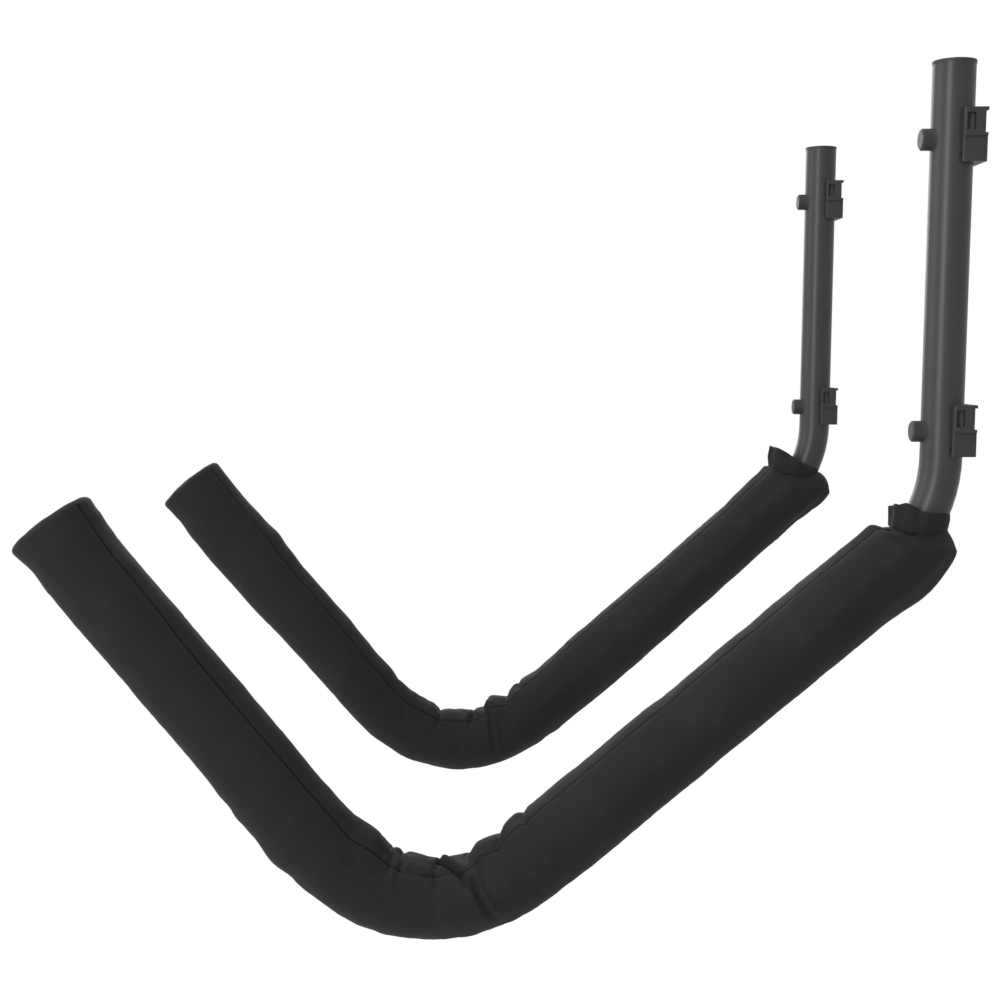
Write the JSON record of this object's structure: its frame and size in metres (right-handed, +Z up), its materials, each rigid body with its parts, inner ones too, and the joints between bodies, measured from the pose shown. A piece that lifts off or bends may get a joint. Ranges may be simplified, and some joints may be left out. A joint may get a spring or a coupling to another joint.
{
  "type": "wall kayak rack",
  "caption": "Pair of bent tube arms with padded fabric covers that hang on moulded wall brackets and cradle a kayak on its side.",
  "frame": {"origin": "on the wall, midway between the arms and midway between the upper and lower wall screws", "axes": "+X along the wall, to the right as seen from the room; +Y into the wall; +Z up"},
  "size_m": [0.5217, 0.7369, 0.6909],
  "materials": {
    "powder_coat": "satin charcoal powder coat",
    "moulded_plastic": "fine moulded grain",
    "cover_fabric": "woven coated nylon",
    "foam": "closed-cell foam",
    "elastic": "elastic cord",
    "zinc_steel": "zinc plated"
  },
  "bodies": {
    "wall_brackets": {"left_upper_wall_bracket": "moulded_plastic", "left_lower_wall_bracket": "moulded_plastic", "right_upper_wall_bracket": "moulded_plastic", "right_lower_wall_bracket": "moulded_plastic"},
    "left_arm": {"left_arm_tube": "powder_coat", "left_top_plug": "moulded_plastic", "left_end_plug": "moulded_plastic", "left_foam_pad": "foam", "left_pad_cover": "cover_fabric", "left_hem_elastic": "elastic", "left_upper_tube_hook": "moulded_plastic", "left_upper_through_bolt": "zinc_steel", "left_upper_lock_nut": "zinc_steel", "left_upper_saddle_washer": "moulded_plastic", "left_upper_nut_cap": "moulded_plastic", "left_lower_tube_hook": "moulded_plastic", "left_lower_through_bolt": "zinc_steel", "left_lower_lock_nut": "zinc_steel", "left_lower_saddle_washer": "moulded_plastic", "left_lower_nut_cap": "moulded_plastic"},
    "right_arm": {"right_arm_tube": "powder_coat", "right_top_plug": "moulded_plastic", "right_end_plug": "moulded_plastic", "right_foam_pad": "foam", "right_pad_cover": "cover_fabric", "right_hem_elastic": "elastic", "right_upper_tube_hook": "moulded_plastic", "right_upper_through_bolt": "zinc_steel", "right_upper_lock_nut": "zinc_steel", "right_upper_saddle_washer": "moulded_plastic", "right_upper_nut_cap": "moulded_plastic", "right_lower_tube_hook": "moulded_plastic", "right_lower_through_bolt": "zinc_steel", "right_lower_lock_nut": "zinc_steel", "right_lower_saddle_washer": "moulded_plastic", "right_lower_nut_cap": "moulded_plastic"}
  },
  "joints": [
    {"name": "left_arm_lift", "type": "slide", "parent": "wall_brackets", "child": "left_arm", "axis": [0, 0, 1], "range_m": [0, 0.025]},
    {"name": "right_arm_lift", "type": "slide", "parent": "wall_brackets", "child": "right_arm", "axis": [0, 0, 1], "range_m": [0, 0.025]}
  ]
}
